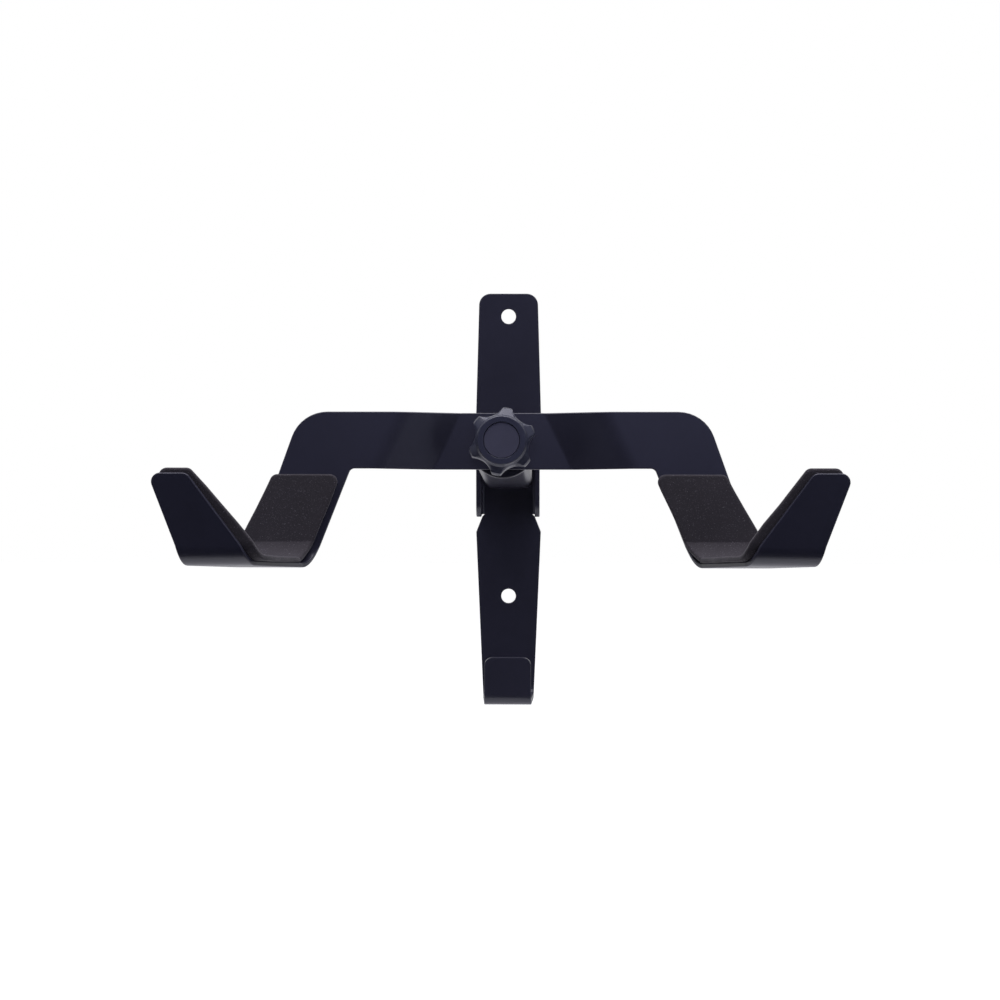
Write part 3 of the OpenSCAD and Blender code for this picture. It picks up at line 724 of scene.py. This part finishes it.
def round_hardware():
    """Washers, disc, sleeve, bolt and lock nut, all turned, each with its broken edges."""

    def ring(name, node, body, material, slot, inner, outer, low, high, place, edge=0.3):
        loop = rounded([(inner, low, edge), (outer, low, edge), (outer, high, edge), (inner, high, edge)], 4)
        points, faces = turned(loop, 96, closed=True)
        make_piece(name, points, faces, body, material, [node], place)

    wall = "wall_mount"
    ring(
        "clamp_washer", "knob_washer", "knob_carrier", zinc, "zinc_steel",
        4.1, 11, -8.7, -7.1, facing_front,
    )
    ring(
        "friction_disc_moulded", "friction_disc", "swing_arm", disc_plastic, "moulded_nylon",
        4.1, 17.5, -15.8, -11.8, facing_front, 0.9,
    )
    ring("pin_sleeve", "hinge_sleeve", wall, zinc, "zinc_steel", 4.05, 6, -16.25, 16.25, along_x)
    ring("pin_washer_head", "hinge_head_washer", wall, zinc, "zinc_steel", 4.2, 8, 19.25, 20.85, along_x)
    ring("pin_washer_nut", "hinge_nut_washer", wall, zinc, "zinc_steel", 4.2, 8, -20.85, -19.25, along_x)
    ring("side_washer_l", "side_washer_left", wall, nylon, "nylon", 6.05, 11, -16.25, -14.95, along_x)
    ring("side_washer_r", "side_washer_right", wall, nylon, "nylon", 6.05, 11, 14.95, 16.25, along_x)
    ring(
        "lock_collar", "lock_nut_collar", wall, collar_nylon, "nylon",
        4.05, 5.1, -28.25, -26.25, along_x, 0.2,
    )

    def hexagon(angle):
        """Distance from the axis to a hexagon 13 across its flats."""
        return 6.5 / np.cos((angle + np.pi / 6) % (np.pi / 3) - np.pi / 6)

    bolt = profile_of(
        [(0, -30.85, 0), (3.2, -30.85, 0.2), (4, -29.9, 0.2), (4, 20.85, 0), (6.6, 20.85, 0.2),
         (7.45, 21.3, 0), (7.45, 25.3, 0), (6.2, 26.15, 0.3), (0, 26.15, 0)]
    )
    points, faces = turned(bolt, 144, hexagon)
    make_piece("pin_bolt", points, faces, wall, zinc, ["hinge_bolt"], along_x)
    nut = rounded(
        [(4.05, -26.25, 0), (4.05, -20.85, 0.3), (6.6, -20.85, 0.2), (7.45, -21.3, 0), (7.45, -26.6, 0),
         (6.5, -27.2, 0.2), (5.9, -27.3, 0.2), (5.9, -28.4, 0.6), (5.1, -28.85, 0.2),
         (5.1, -26.25, 0)][::-1], 4
    )
    points, faces = turned(nut, 144, hexagon, closed=True)
    make_piece("pin_lock_nut", points, faces, wall, zinc, ["hinge_lock_nut"], along_x)


# A coach bolt's neck is square and its head round, so its CAD solid stays as it is
coach_bolt = frame["nodes"]["tilt_bolt"]
coach_bolt.data.materials.clear()
coach_bolt.data.materials.append(zinc)

wall_plate()
swing_bracket()
cradle()
foam_pad("foam_left", "foam_pad_left", -1, (83.5, 0.39, 0.257, 0.845), (119.3, 0.49, 0.254, 0.32), 3)
foam_pad("foam_right", "foam_pad_right", 1, (77.6, 0.445, 0.34, 0.76), (115.2, 0.56, 0.27, 0.325), 5)
knob()
round_hardware()

# ---------------------------------------------------------------- studio

scene = bpy.context.scene
scene.view_settings.view_transform = "Standard"

world = bpy.data.worlds.new("white_studio")
scene.world = world
world.use_nodes = True
sky = world.node_tree
sky.nodes["Background"].inputs["Color"].default_value = (1, 1, 1, 1)
seen = add(sky, "ShaderNodeLightPath").outputs["Is Camera Ray"]
direction = add(sky, "ShaderNodeSeparateXYZ", Vector=add(sky, "ShaderNodeTexCoord").outputs["Generated"])
# the room is white behind and beside the rack, and dim in front of it
room = add(
    sky, "ShaderNodeMapRange", {"interpolation_type": "SMOOTHSTEP"}, Value=direction.outputs["Y"],
    From_Min=0.15, From_Max=0.8, To_Min=0.008, To_Max=0.9,
)
strength = add(sky, "ShaderNodeMix", {"data_type": "FLOAT"}, Factor=seen)
sky.links.new(room.outputs[0], strength.inputs[2])
strength.inputs[3].default_value = 1.0
sky.links.new(strength.outputs[0], sky.nodes["Background"].inputs["Strength"])


def softbox(name, place, aim, size, power, colour):
    """Rectangular studio light."""
    light = bpy.data.lights.new(name, "AREA")
    light.shape, light.size, light.size_y = "RECTANGLE", size[0], size[1]
    light.energy, light.color = power, linear(colour)[:3]
    obj = bpy.data.objects.new(name, light)
    obj.location = place
    obj.rotation_euler = (Vector(aim) - Vector(place)).to_track_quat("-Z", "Y").to_euler()
    bpy.context.collection.objects.link(obj)


softbox("top_light", (0, -0.35, 1.3), (0, -0.1, 0), (1.8, 1.0), 32, "#f4f2ff")
softbox("left_light", (-1.25, -1.1, 0.35), (0, -0.2, 0), (0.8, 1.4), 4, "#dfe2ff")
softbox("right_light", (1.1, -1.25, 0.35), (0, -0.2, 0), (0.8, 1.4), 6, "#dfe2ff")
softbox("front_light", (0.2, -1.7, 0.56), (0, -0.2, 0), (0.9, 0.6), 1.1, "#c4c6ff")

floor_mesh = bpy.data.meshes.new("floor")
floor_mesh.from_pydata([(-3, -0.45, -0.5), (3, -0.45, -0.5), (3, 4, -0.5), (-3, 4, -0.5)], [], [(0, 1, 2, 3)])
floor = bpy.data.objects.new("floor", floor_mesh)
bpy.context.collection.objects.link(floor)
pale, pale_tree, pale_shader, _ = new_finish(
    "pale_floor", Base_Color=(0.9, 0.9, 0.9, 1), Roughness=0.9, Emission_Color=(1, 1, 1, 1)
)
# it looks white to the camera but sends only a little light up under the rack
looked_at = add(pale_tree, "ShaderNodeLightPath").outputs["Is Camera Ray"]
glow = add(pale_tree, "ShaderNodeMapRange", Value=looked_at, To_Min=0.2, To_Max=0.8)
pale_tree.links.new(glow.outputs[0], pale_shader.inputs["Emission Strength"])
floor_mesh.materials.append(pale)

camera = bpy.data.cameras.new("camera")
camera.lens, camera.sensor_width, camera.clip_end = 82.08, 36, 30
eye = bpy.data.objects.new("camera", camera)
eye.location = (0.0222, -1.409, 0.0865)
eye.rotation_euler = (math.radians(85.4), 0, math.radians(1.12))
bpy.context.collection.objects.link(eye)
scene.camera = eye
